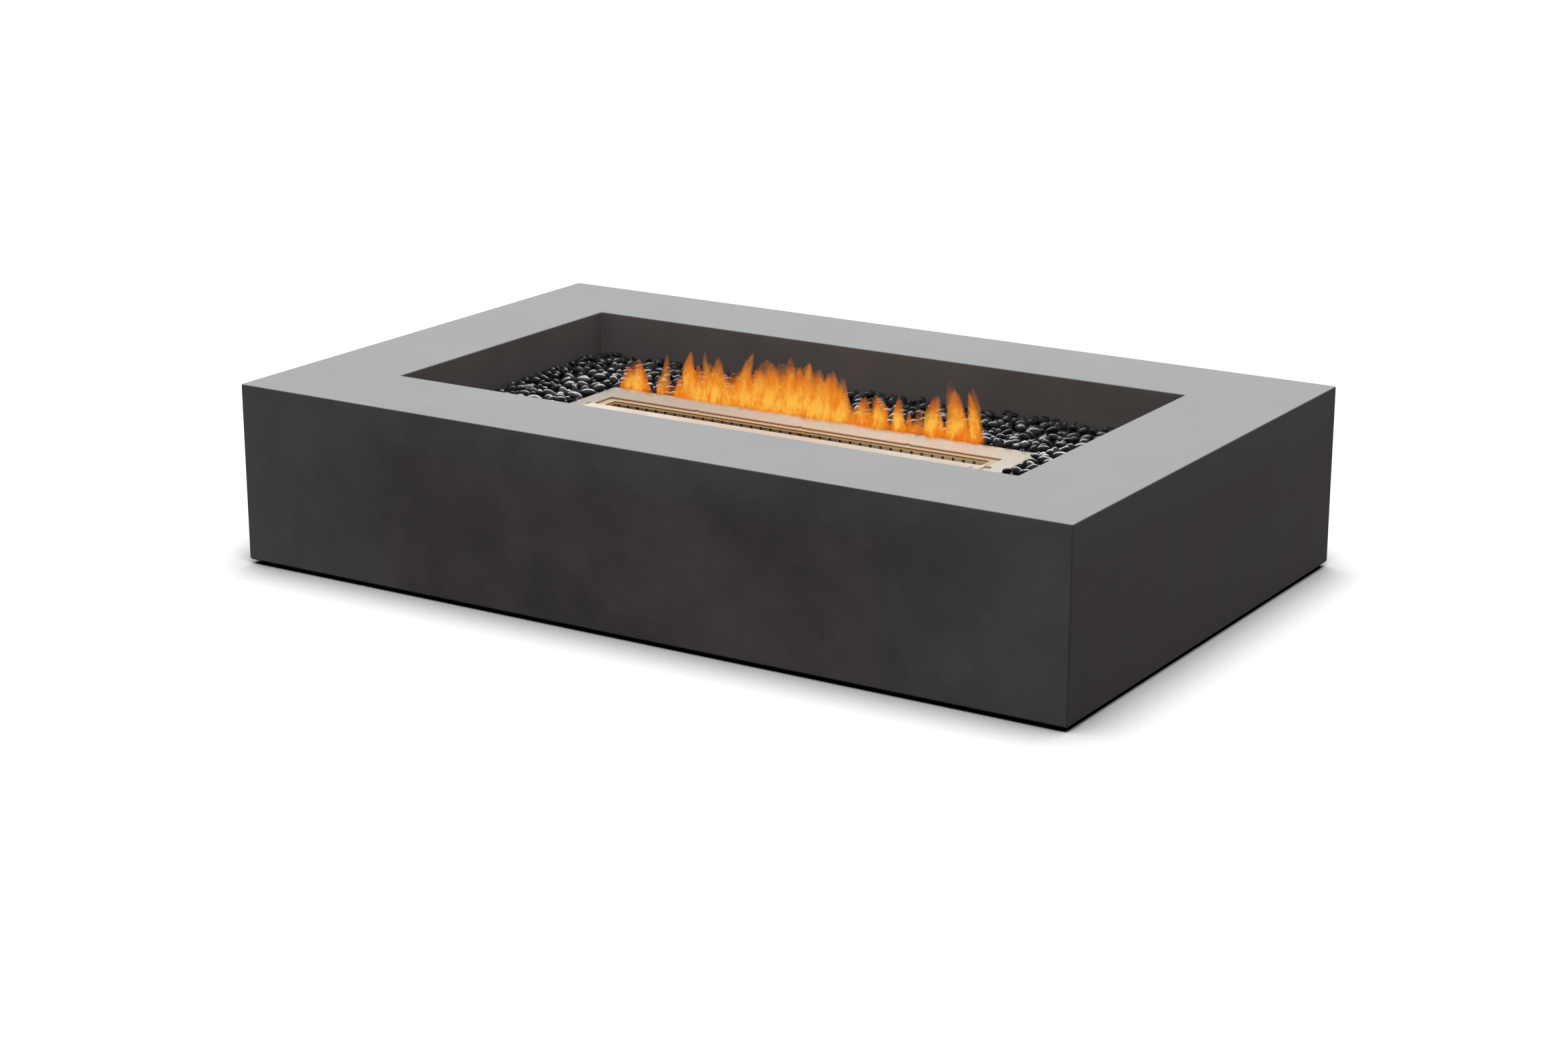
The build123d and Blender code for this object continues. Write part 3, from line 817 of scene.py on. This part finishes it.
def lay_stones(low, high, settings, dice):
    """Drops stones one by one where they come to lie lowest; gives place, half axes, turn and tone."""
    cell, tries, pale_share = 0.002, 9, 0.06
    usual_length, usual_slimness = settings.longest * 0.8, 0.7
    usual_area = math.pi / 4 * usual_length ** 2 * usual_slimness
    count = int(settings.layers * (high.x - low.x) * (high.y - low.y) / usual_area)
    ground = np.full((int((high.x - low.x) / cell) + 1, int((high.y - low.y) / cell) + 1), low.z)
    stones = []
    for _ in range(count):
        half_axes, turn = thrown_stone(settings, dice)
        under, upper, reach_x, reach_y = stone_skins(half_axes, turn, cell)
        landings = []
        for _ in range(tries):
            i = resting_place(ground.shape[0], reach_x, dice)
            j = resting_place(ground.shape[1], reach_y, dice)
            patch = ground[i - reach_x:i + reach_x + 1, j - reach_y:j + reach_y + 1]
            landings.append((float((patch - under).max()), i, j))
        z, i, j = min(landings)
        if z + float(upper.max()) > settings.top:
            continue
        patch = ground[i - reach_x:i + reach_x + 1, j - reach_y:j + reach_y + 1]
        np.maximum(patch, z + upper, out=patch)
        tone = dice.uniform(0.3, 0.8) if dice.random() < pale_share else dice.uniform(0.0, 0.12)
        stones.append(((low.x + i * cell, low.y + j * cell, z), half_axes, turn.to_euler("XYZ"), tone))
    return stones


def pebble_tree():
    """Geometry Nodes that set a dented stone on each point."""
    tree = bpy.data.node_groups.new("Pebble bed", "GeometryNodeTree")
    sockets = (
        ("Geometry", "NodeSocketGeometry"), ("Facets", "NodeSocketInt"), ("Dents", "NodeSocketFloat"),
        ("Dents per metre", "NodeSocketFloat"), ("Stone", "NodeSocketMaterial"),
    )
    for label, kind in sockets:
        tree.interface.new_socket(label, in_out="INPUT", socket_type=kind)
    tree.interface.new_socket("Geometry", in_out="OUTPUT", socket_type="NodeSocketGeometry")
    wiring = Wiring(tree)
    given = wiring.add("NodeGroupInput").outputs
    ball = wiring.add("GeometryNodeMeshIcoSphere", {"Radius": 1.0, "Subdivisions": given["Facets"]})
    half_axes, angles = (
        wiring.add("GeometryNodeInputNamedAttribute", {"Name": name}, data_type="FLOAT_VECTOR").outputs[0]
        for name in ("half_axes", "angles")
    )
    turn = wiring.add("FunctionNodeEulerToRotation", {0: angles})
    placed = wiring.add("GeometryNodeInstanceOnPoints", {
        "Points": given["Geometry"], "Instance": ball.outputs["Mesh"],
        "Rotation": turn.outputs[0], "Scale": half_axes,
    })
    stones = wiring.add("GeometryNodeRealizeInstances", {"Geometry": placed.outputs[0]})
    where = wiring.add("GeometryNodeInputPosition").outputs[0]
    wave = wiring.minus(wiring.noise(where, given["Dents per metre"]), 0.5)
    offset = wiring.add("ShaderNodeVectorMath", {
        0: wiring.add("GeometryNodeInputNormal").outputs[0], "Scale": wiring.times(wave, given["Dents"]),
    }, operation="SCALE")
    dented = wiring.add("GeometryNodeSetPosition", {
        "Geometry": stones.outputs[0], "Offset": offset.outputs[0],
    })
    smooth = wiring.add("GeometryNodeSetShadeSmooth", {"Geometry": dented.outputs[0]})
    finished = wiring.add("GeometryNodeSetMaterial", {
        "Geometry": smooth.outputs[0], "Material": given["Stone"],
    })
    wiring.add("NodeGroupOutput", {0: finished.outputs[0]})
    return tree


def grown_mesh(name, source, tree, values):
    """Runs a Geometry Nodes tree on a mesh and gives the result as a plain object."""
    seed_object = bpy.data.objects.new(name + "_points", source)
    bpy.context.scene.collection.objects.link(seed_object)
    modifier = seed_object.modifiers.new("grow", "NODES")
    modifier.node_group = tree
    for item in tree.interface.items_tree:
        if item.in_out == "INPUT" and item.name in values:
            modifier[item.identifier] = values[item.name]
    depsgraph = bpy.context.evaluated_depsgraph_get()
    evaluated = seed_object.evaluated_get(depsgraph)
    mesh = bpy.data.meshes.new_from_object(evaluated, preserve_all_data_layers=True, depsgraph=depsgraph)
    mesh.name = name
    seed_object.modifiers.remove(modifier)
    bpy.data.objects.remove(seed_object)
    bpy.data.meshes.remove(source)
    return linked(name, mesh)


def linked(name, data):
    """A new object in the scene."""
    new_object = bpy.data.objects.new(name, data)
    bpy.context.scene.collection.objects.link(new_object)
    return new_object


def stone_points(stones):
    """Mesh of single points that carry each stone's half axes, angles and tone."""
    mesh = bpy.data.meshes.new("stone_points")
    mesh.from_pydata([place for place, _, _, _ in stones], [], [])
    axes = mesh.attributes.new("half_axes", "FLOAT_VECTOR", "POINT")
    axes.data.foreach_set("vector", [value for _, half_axes, _, _ in stones for value in half_axes])
    angles = mesh.attributes.new("angles", "FLOAT_VECTOR", "POINT")
    angles.data.foreach_set("vector", [value for _, _, turn, _ in stones for value in turn])
    tones = mesh.attributes.new("stone_tone", "FLOAT", "POINT")
    tones.data.foreach_set("value", [tone for _, _, _, tone in stones])
    return mesh


class FlameMesh:
    """Collects flame tongues and sheets of fire into one mesh."""

    # Rings up a flame, points round a tongue and columns along a sheet
    rings, around, columns = 15, 12, 90
    # How far below the throat sheets a flame begins
    root_depth = 0.002
    # Share of the way to a fully faded tip that a tongue reaches
    tip_share = 0.94
    # A flame's usual lean per metre of height, and how late it bends
    usual_lean, bend = 0.22, 1.4
    # How much wider a tongue is than its root, and the pace of its sway
    swelling, sway_pace = 1.12, 8
    # Half thickness of a sheet, the share of it that is left at its ends, and the length of the taper
    sheet_half_depth, end_share, end_taper = 0.005, 0.15, 0.03
    # Waves of a sheet's crest: slowest and fastest pace in radians per metre, and swing
    crest_waves = ((90, 130, 0.006), (210, 280, 0.008), (420, 500, 0.005))

    def __init__(self, settings):
        self.settings = settings
        self.root_z = THROAT_Z - self.root_depth
        self.drift = (-math.sin(settings.breeze), math.cos(settings.breeze))
        self.points, self.faces, self.corners, self.weights = [], [], [], []

    def stature(self, seen_height):
        """How far a flame rises over the plate and leans with the breeze to look that high."""
        settings = self.settings
        top_room = settings.top - PLATE_Z
        lean = self.usual_lean * seen_height
        rise = seen_height - lean * settings.slant
        if rise > top_room:
            rise = top_room
            lean = min(settings.most_lean, (seen_height - top_room) / settings.slant)
        return rise, lean

    def spine(self, x, y, rise, lean, share):
        """Middle of a flame at a share of its height."""
        drifted = lean * share ** self.bend
        z = self.root_z + (PLATE_Z - self.root_z + rise) * share
        return x + self.drift[0] * drifted, y + self.drift[1] * drifted, z

    @staticmethod
    def girth(share, blunt, belly):
        """Width of a tongue at a share of its height: a belly low down, then a pointed or blunt tip."""
        # The last ring stays open by a hair, so that its faces keep an area
        reach = 0.999 * share
        swell = 1 + belly * math.sin(math.pi * min(1, share / 0.55))
        return swell * (blunt * math.sqrt(1 - reach ** 2.5) + (1 - blunt) * (1 - reach) ** 0.6)

    def tongue(self, left, right, tip_x, seen_height, blunt, weight, dice):
        """A thin closed tongue that rises from the slot, bends with the breeze and fades to its tip."""
        rise, lean = self.stature(seen_height)
        middle, half_width = (left + right) / 2, self.swelling * (right - left) / 2
        half_depth = min(SLOT_HALF_WIDTH * 0.8, 0.35 * half_width + 0.002)
        wave, phase = dice.uniform(0.05, 0.2) * half_width, dice.uniform(0, math.tau)
        belly = dice.uniform(0.0, 0.15)
        first = len(self.points)
        for ring in range(self.rings + 1):
            share = ring / self.rings
            narrow = self.girth(share, blunt, belly)
            sway = wave * math.sin(phase + self.sway_pace * share) * share
            along = middle + (tip_x - middle) * share ** self.bend + sway
            x, y, z = self.spine(along, SLOT_MIDDLE_Y, rise, lean, share)
            for step in range(self.around):
                angle = math.tau * step / self.around
                self.points.append((
                    x + half_width * narrow * math.cos(angle), y + half_depth * narrow * math.sin(angle), z,
                ))
        self.weights += [weight] * (len(self.points) - first)
        self.close_tongue(first)

    def close_tongue(self, first):
        """Faces and texture corners of the tongue whose points begin at first."""
        def corner(ring, step):
            side = (1 + math.cos(math.tau * step / self.around)) / 2
            point = first + ring * self.around + step % self.around
            return point, side, self.tip_share * ring / self.rings

        self.face([corner(0, step) for step in reversed(range(self.around))])
        self.face([corner(self.rings, step) for step in range(self.around)])
        for ring in range(self.rings):
            for step in range(self.around):
                self.face([
                    corner(ring, step), corner(ring, step + 1),
                    corner(ring + 1, step + 1), corner(ring + 1, step),
                ])

    def face(self, corners):
        """One face from its points and their places on the texture."""
        self.faces.append([point for point, _, _ in corners])
        self.corners += [(across, along) for _, across, along in corners]

    def sheet(self, scale, y, dice):
        """A long closed sheet of fire along the slot with an uneven crest."""
        places, heights = np.array(CREST).T / 1000
        left, right = places[0], places[-1]
        waves = [(dice.uniform(slow, fast), swing) for slow, fast, swing in self.crest_waves]
        phases = [dice.uniform(0, math.tau) for _ in waves]
        shares = [min(k, 2 * self.rings - k) / self.rings for k in range(2 * self.rings + 1)]
        first = len(self.points)
        inward = []
        for column in range(self.columns + 1):
            across = column / self.columns
            x = left + (right - left) * across
            inward.append(min(1.0, min(across, 1 - across) * (right - left) / self.end_taper))
            thickness = self.sheet_half_depth * (self.end_share + (1 - self.end_share) * inward[-1])
            crest = scale * float(np.interp(x, places, heights))
            for (pace, swing), phase in zip(waves, phases):
                crest += swing * math.sin(pace * x + phase)
            rise, lean = self.stature(crest)
            for k, share in enumerate(shares):
                half_depth = thickness * math.sqrt(1 - share * share)
                side = -1 if k < self.rings else 1
                px, py, pz = self.spine(x, SLOT_MIDDLE_Y + y, rise, lean, share)
                self.points.append((px, py + side * half_depth, pz))
        self.weights += [1.0] * (len(self.points) - first)
        self.close_sheet(first, inward, shares)

    def close_sheet(self, first, inward, shares):
        """Faces and texture corners of the sheet whose points begin at first."""
        per_column = len(shares)

        def corner(column, k):
            return first + column * per_column + k, inward[column] / 2, shares[k]

        self.face([corner(0, k) for k in range(per_column)])
        self.face([corner(self.columns, k) for k in reversed(range(per_column))])
        for column in range(self.columns):
            for k in range(per_column):
                up = (k + 1) % per_column
                self.face([
                    corner(column, k), corner(column + 1, k), corner(column + 1, up), corner(column, up),
                ])

    def finished(self, name, material):
        """The sheets and tongues as one smooth object."""
        mesh = bpy.data.meshes.new(name)
        mesh.from_pydata(self.points, [], self.faces)
        layer = mesh.uv_layers.new(name="flame")
        layer.data.foreach_set("uv", [value for corner in self.corners for value in corner])
        weights = mesh.attributes.new("flame_weight", "FLOAT", "POINT")
        weights.data.foreach_set("value", self.weights)
        mesh.polygons.foreach_set("use_smooth", [True] * len(mesh.polygons))
        mesh.materials.append(material)
        return linked(name, mesh)


class FIREPIT_OT_concrete(bpy.types.Operator):
    """Finish the cast block"""

    bl_idname = "firepit.concrete"
    bl_label = "Concrete block"

    def execute(self, context):
        dress(("concrete_shell",), concrete_finish(context.scene.firepit_concrete))
        return {"FINISHED"}


class FIREPIT_OT_fittings(bpy.types.Operator):
    """Finish the feet, strips, tray and pins"""

    bl_idname = "firepit.fittings"
    bl_label = "Feet, strips, tray and pins"

    def execute(self, context):
        fittings, steel = context.scene.firepit_fittings, context.scene.firepit_steel
        rubber = matte_finish("black_rubber", fittings.rubber_color, roughness=0.8, bump_depth=0.0003)
        dress(RUBBER_NODES, rubber)
        paint = matte_finish("black_tray_paint", fittings.paint_color, roughness=0.55, bump_depth=0.0002)
        dress(("pebble_tray",), paint)
        brass = steel_finish("turned_brass", steel, fittings.brass_color, roughness=0.34, metal=1.0)
        dress(("foot_inserts",), brass)
        plain = steel_finish("plain_steel", steel, fittings.steel_color, roughness=0.33, metal=1.0)
        dress(FASTENER_NODES, plain)
        return {"FINISHED"}


class FIREPIT_OT_pebbles(bpy.types.Operator):
    """Lay the loose stones round the burner"""

    bl_idname = "firepit.pebbles"
    bl_label = "Pebbles"

    def execute(self, context):
        settings = context.scene.firepit_pebbles
        dice = random.Random(settings.seed)
        material = pebble_finish(settings)
        tree = pebble_tree()
        values = {
            "Facets": 2, "Dents": settings.dents, "Dents per metre": settings.dent_scale, "Stone": material,
        }
        for side in PEBBLE_SIDES:
            node = "pebbles_" + side
            stones = lay_stones(*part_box(node), settings, dice)
            bed = grown_mesh("pebble_bed_" + side, stone_points(stones), tree, values)
            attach(bed, "root")
            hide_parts(node)
        return {"FINISHED"}


class FIREPIT_OT_burner(bpy.types.Operator):
    """Finish the burner's steel, its wool and its lid"""

    bl_idname = "firepit.burner"
    bl_label = "Burner"

    def execute(self, context):
        steel = context.scene.firepit_steel
        base = steel.plate_color

        def brush(nodes, name, shade, **look):
            dress(nodes, steel_finish(name, steel, shaded(base, shade)[:3], **look))

        # Lit and shaded copies of the plate's steel: the lid painted paler, the hinge ears darker so that
        # they show no highlight, the throat sheets darker
        brush(
            ("burner_top_plate",), "brushed_plate", 1.0,
            roughness=0.34, metal=0.5, straw=0.2, cut_edges=0.9,
        )
        brush(("burner_lid",), "brushed_lid", 1.14, roughness=0.42, metal=0.5)
        brush(EAR_NODES, "hinge_steel", 0.5, roughness=0.42, metal=0.5)
        brush(THROAT_NODES, "warmed_throat", 0.74, roughness=0.38, metal=0.5, straw=0.5, brown=0.85)
        brush(TANK_NODES, "tank_steel", 0.85, roughness=0.4, metal=1.0)
        dress(COMB_NODES, comb_finish(steel))
        dress(("wool_pad",), wool_finish(context.scene.firepit_fittings))
        return {"FINISHED"}


class FIREPIT_OT_flames(bpy.types.Operator):
    """Light the burner"""

    bl_idname = "firepit.flames"
    bl_label = "Flames"

    def execute(self, context):
        settings = context.scene.firepit_flames
        dice = random.Random(settings.seed)
        fire = FlameMesh(settings)
        fire.sheet(1.0, -0.004, dice)
        fire.sheet(1.15, 0.004, dice)
        for left, right, tip, height, blunt, weight in TONGUES:
            fire.tongue(left / 1000, right / 1000, tip / 1000, height / 1000, blunt, weight, dice)
        flames = fire.finished("flames", flame_finish(settings))
        flames.visible_shadow = False
        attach(flames, "burner")
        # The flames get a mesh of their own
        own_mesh(flames)
        return {"FINISHED"}


class FIREPIT_OT_stage(bpy.types.Operator):
    """Set up the floor, the light and the camera"""

    bl_idname = "firepit.stage"
    bl_label = "Studio"

    def execute(self, context):
        settings = context.scene.firepit_stage
        self.lay_floor(settings)
        self.hang_lamps(settings)
        self.light_sky(context.scene, settings)
        self.set_camera(context.scene, settings)
        context.scene.view_settings.view_transform = "Standard"
        context.scene.cycles.transparent_max_bounces = 64
        return {"FINISHED"}

    def lay_floor(self, settings):
        """A wide pale floor that keeps the shadow close round the block, deepened by ambient occlusion
        painted into its colour, and painted black under the block.
        """
        half, under_edge, darkest = 40.0, 0.006, 0.2
        mesh = bpy.data.meshes.new("studio_floor")
        corners = [(-half, -half, 0), (half, -half, 0), (half, half, 0), (-half, half, 0)]
        mesh.from_pydata(corners, [], [(0, 1, 2, 3)])
        material, wiring, shader = new_material("studio_floor")
        seen = wiring.background_rays()
        # Painted shadow from ambient occlusion and from the block's outline
        near = wiring.add("ShaderNodeAmbientOcclusion", {"Distance": settings.shadow_reach}, samples=8)
        painted_floor_light = wiring.add("ShaderNodeMapRange", {"Value": near.outputs["AO"], "From Min": darkest})
        x, y, _ = wiring.split(wiring.object_place())
        beside, before = (
            wiring.math("GREATER_THAN", wiring.size(place), half_side - under_edge)
            for place, half_side in ((x, HALF_LENGTH), (y, HALF_WIDTH))
        )
        painted_floor_light = wiring.times(painted_floor_light.outputs[0], wiring.larger(beside, before))
        pale = wiring.mix(painted_floor_light, (0, 0, 0, 1), color(settings.floor_color))
        wiring.join(shader, {
            "Base Color": wiring.mix(seen, shaded(settings.floor_color, 0.1), pale), "Roughness": 1.0,
            "Specular IOR Level": 0.0, "Emission Color": (1, 1, 1, 1),
            "Emission Strength": wiring.times(seen, wiring.times(painted_floor_light, settings.floor_glow)),
        })
        mesh.materials.append(material)
        floor = linked("studio_floor", mesh)

    def panel(self, name, settings, size, distance, height_angle):
        """An area light behind the object that faces it."""
        light = bpy.data.lights.new(name, "AREA")
        light.shape = "RECTANGLE"
        light.size, light.size_y = size
        back = distance * math.cos(height_angle)
        lamp = linked(name, light)
        lamp.location = (
            -math.sin(settings.camera_yaw) * back, math.cos(settings.camera_yaw) * back,
            PLATE_Z + distance * math.sin(height_angle),
        )
        lamp.rotation_euler = (height_angle - math.pi / 2, 0.0, settings.camera_yaw)
        lamp.visible_camera = False
        return lamp

    def hang_lamps(self, settings):
        """The main light, a strip behind the object and a panel for the stones alone."""
        strip = self.panel(
            "back_strip", settings, size=(4.0, 0.3), distance=4.3, height_angle=math.radians(40),
        )
        strip.data.energy = settings.strip_light
        gloss = self.panel(
            "gloss_panel", settings, size=(8.0, 4.0), distance=5.0, height_angle=math.radians(38),
        )
        gloss.data.energy = settings.gloss_light
        gloss.visible_diffuse = False
        mirrors = bpy.data.collections.new("stones_in_the_light")
        for side in PEBBLE_SIDES:
            mirrors.objects.link(bpy.data.objects["pebble_bed_" + side])
        gloss.light_linking.receiver_collection = mirrors

        sun = linked("main_light", bpy.data.lights.new("main_light", "SUN"))
        sun.data.energy = settings.sun_light
        sun.data.angle = settings.sun_spread
        sun.rotation_euler = (settings.sun_tilt, 0.0, settings.camera_yaw)
        sun.visible_glossy = False

    def light_sky(self, scene, settings):
        """A white background that lights the object at its own level."""
        world = bpy.data.worlds.new("studio_world")
        world.use_nodes = True
        world.node_tree.nodes.clear()
        wiring = Wiring(world.node_tree)
        levels = {"Value": wiring.background_rays(), "To Min": settings.sky_light, "To Max": 1.0}
        strength = wiring.add("ShaderNodeMapRange", levels).outputs[0]
        sky = wiring.add("ShaderNodeBackground", {"Color": (1, 1, 1, 1), "Strength": strength})
        wiring.add("ShaderNodeOutputWorld", {"Surface": sky.outputs[0]})
        scene.world = world

    def set_camera(self, scene, settings):
        """The camera in front of the object, to its right."""
        camera = linked("camera", bpy.data.cameras.new("camera"))
        camera.data.lens = settings.lens
        camera.data.sensor_width = 36.0
        camera.data.clip_end = 200.0
        camera.location = settings.camera_place
        camera.rotation_euler = (math.pi / 2 - settings.camera_pitch, 0.0, settings.camera_yaw)
        scene.camera = camera


class FIREPIT_PT_panel(bpy.types.Panel):
    """Lists the steps that dress the fire pit"""

    bl_idname = "FIREPIT_PT_panel"
    bl_label = "Cast fire pit"
    bl_space_type = "VIEW_3D"
    bl_region_type = "UI"
    bl_category = "Fire pit"

    def draw(self, context):
        for operator in OPERATORS:
            self.layout.operator(operator.bl_idname)


SETTINGS = {
    "firepit_concrete": ConcreteSettings,
    "firepit_fittings": FittingSettings,
    "firepit_pebbles": PebbleSettings,
    "firepit_steel": SteelSettings,
    "firepit_flames": FlameSettings,
    "firepit_stage": StageSettings,
}
OPERATORS = (
    FIREPIT_OT_concrete, FIREPIT_OT_fittings, FIREPIT_OT_pebbles, FIREPIT_OT_burner, FIREPIT_OT_flames,
    FIREPIT_OT_stage,
)


def register():
    """Registers the settings, operators and panel."""
    for name, group in SETTINGS.items():
        bpy.utils.register_class(group)
        setattr(bpy.types.Scene, name, PointerProperty(type=group))
    for operator in OPERATORS:
        bpy.utils.register_class(operator)
    bpy.utils.register_class(FIREPIT_PT_panel)


def unregister():
    """Takes them out again."""
    bpy.utils.unregister_class(FIREPIT_PT_panel)
    for operator in reversed(OPERATORS):
        bpy.utils.unregister_class(operator)
    for name, group in SETTINGS.items():
        delattr(bpy.types.Scene, name)
        bpy.utils.unregister_class(group)


def main():
    """Dresses the frame."""
    register()
    bpy.ops.firepit.concrete()
    bpy.ops.firepit.fittings()
    bpy.ops.firepit.pebbles()
    bpy.ops.firepit.burner()
    bpy.ops.firepit.flames()
    bpy.ops.firepit.stage()


if __name__ == "__main__":
    main()
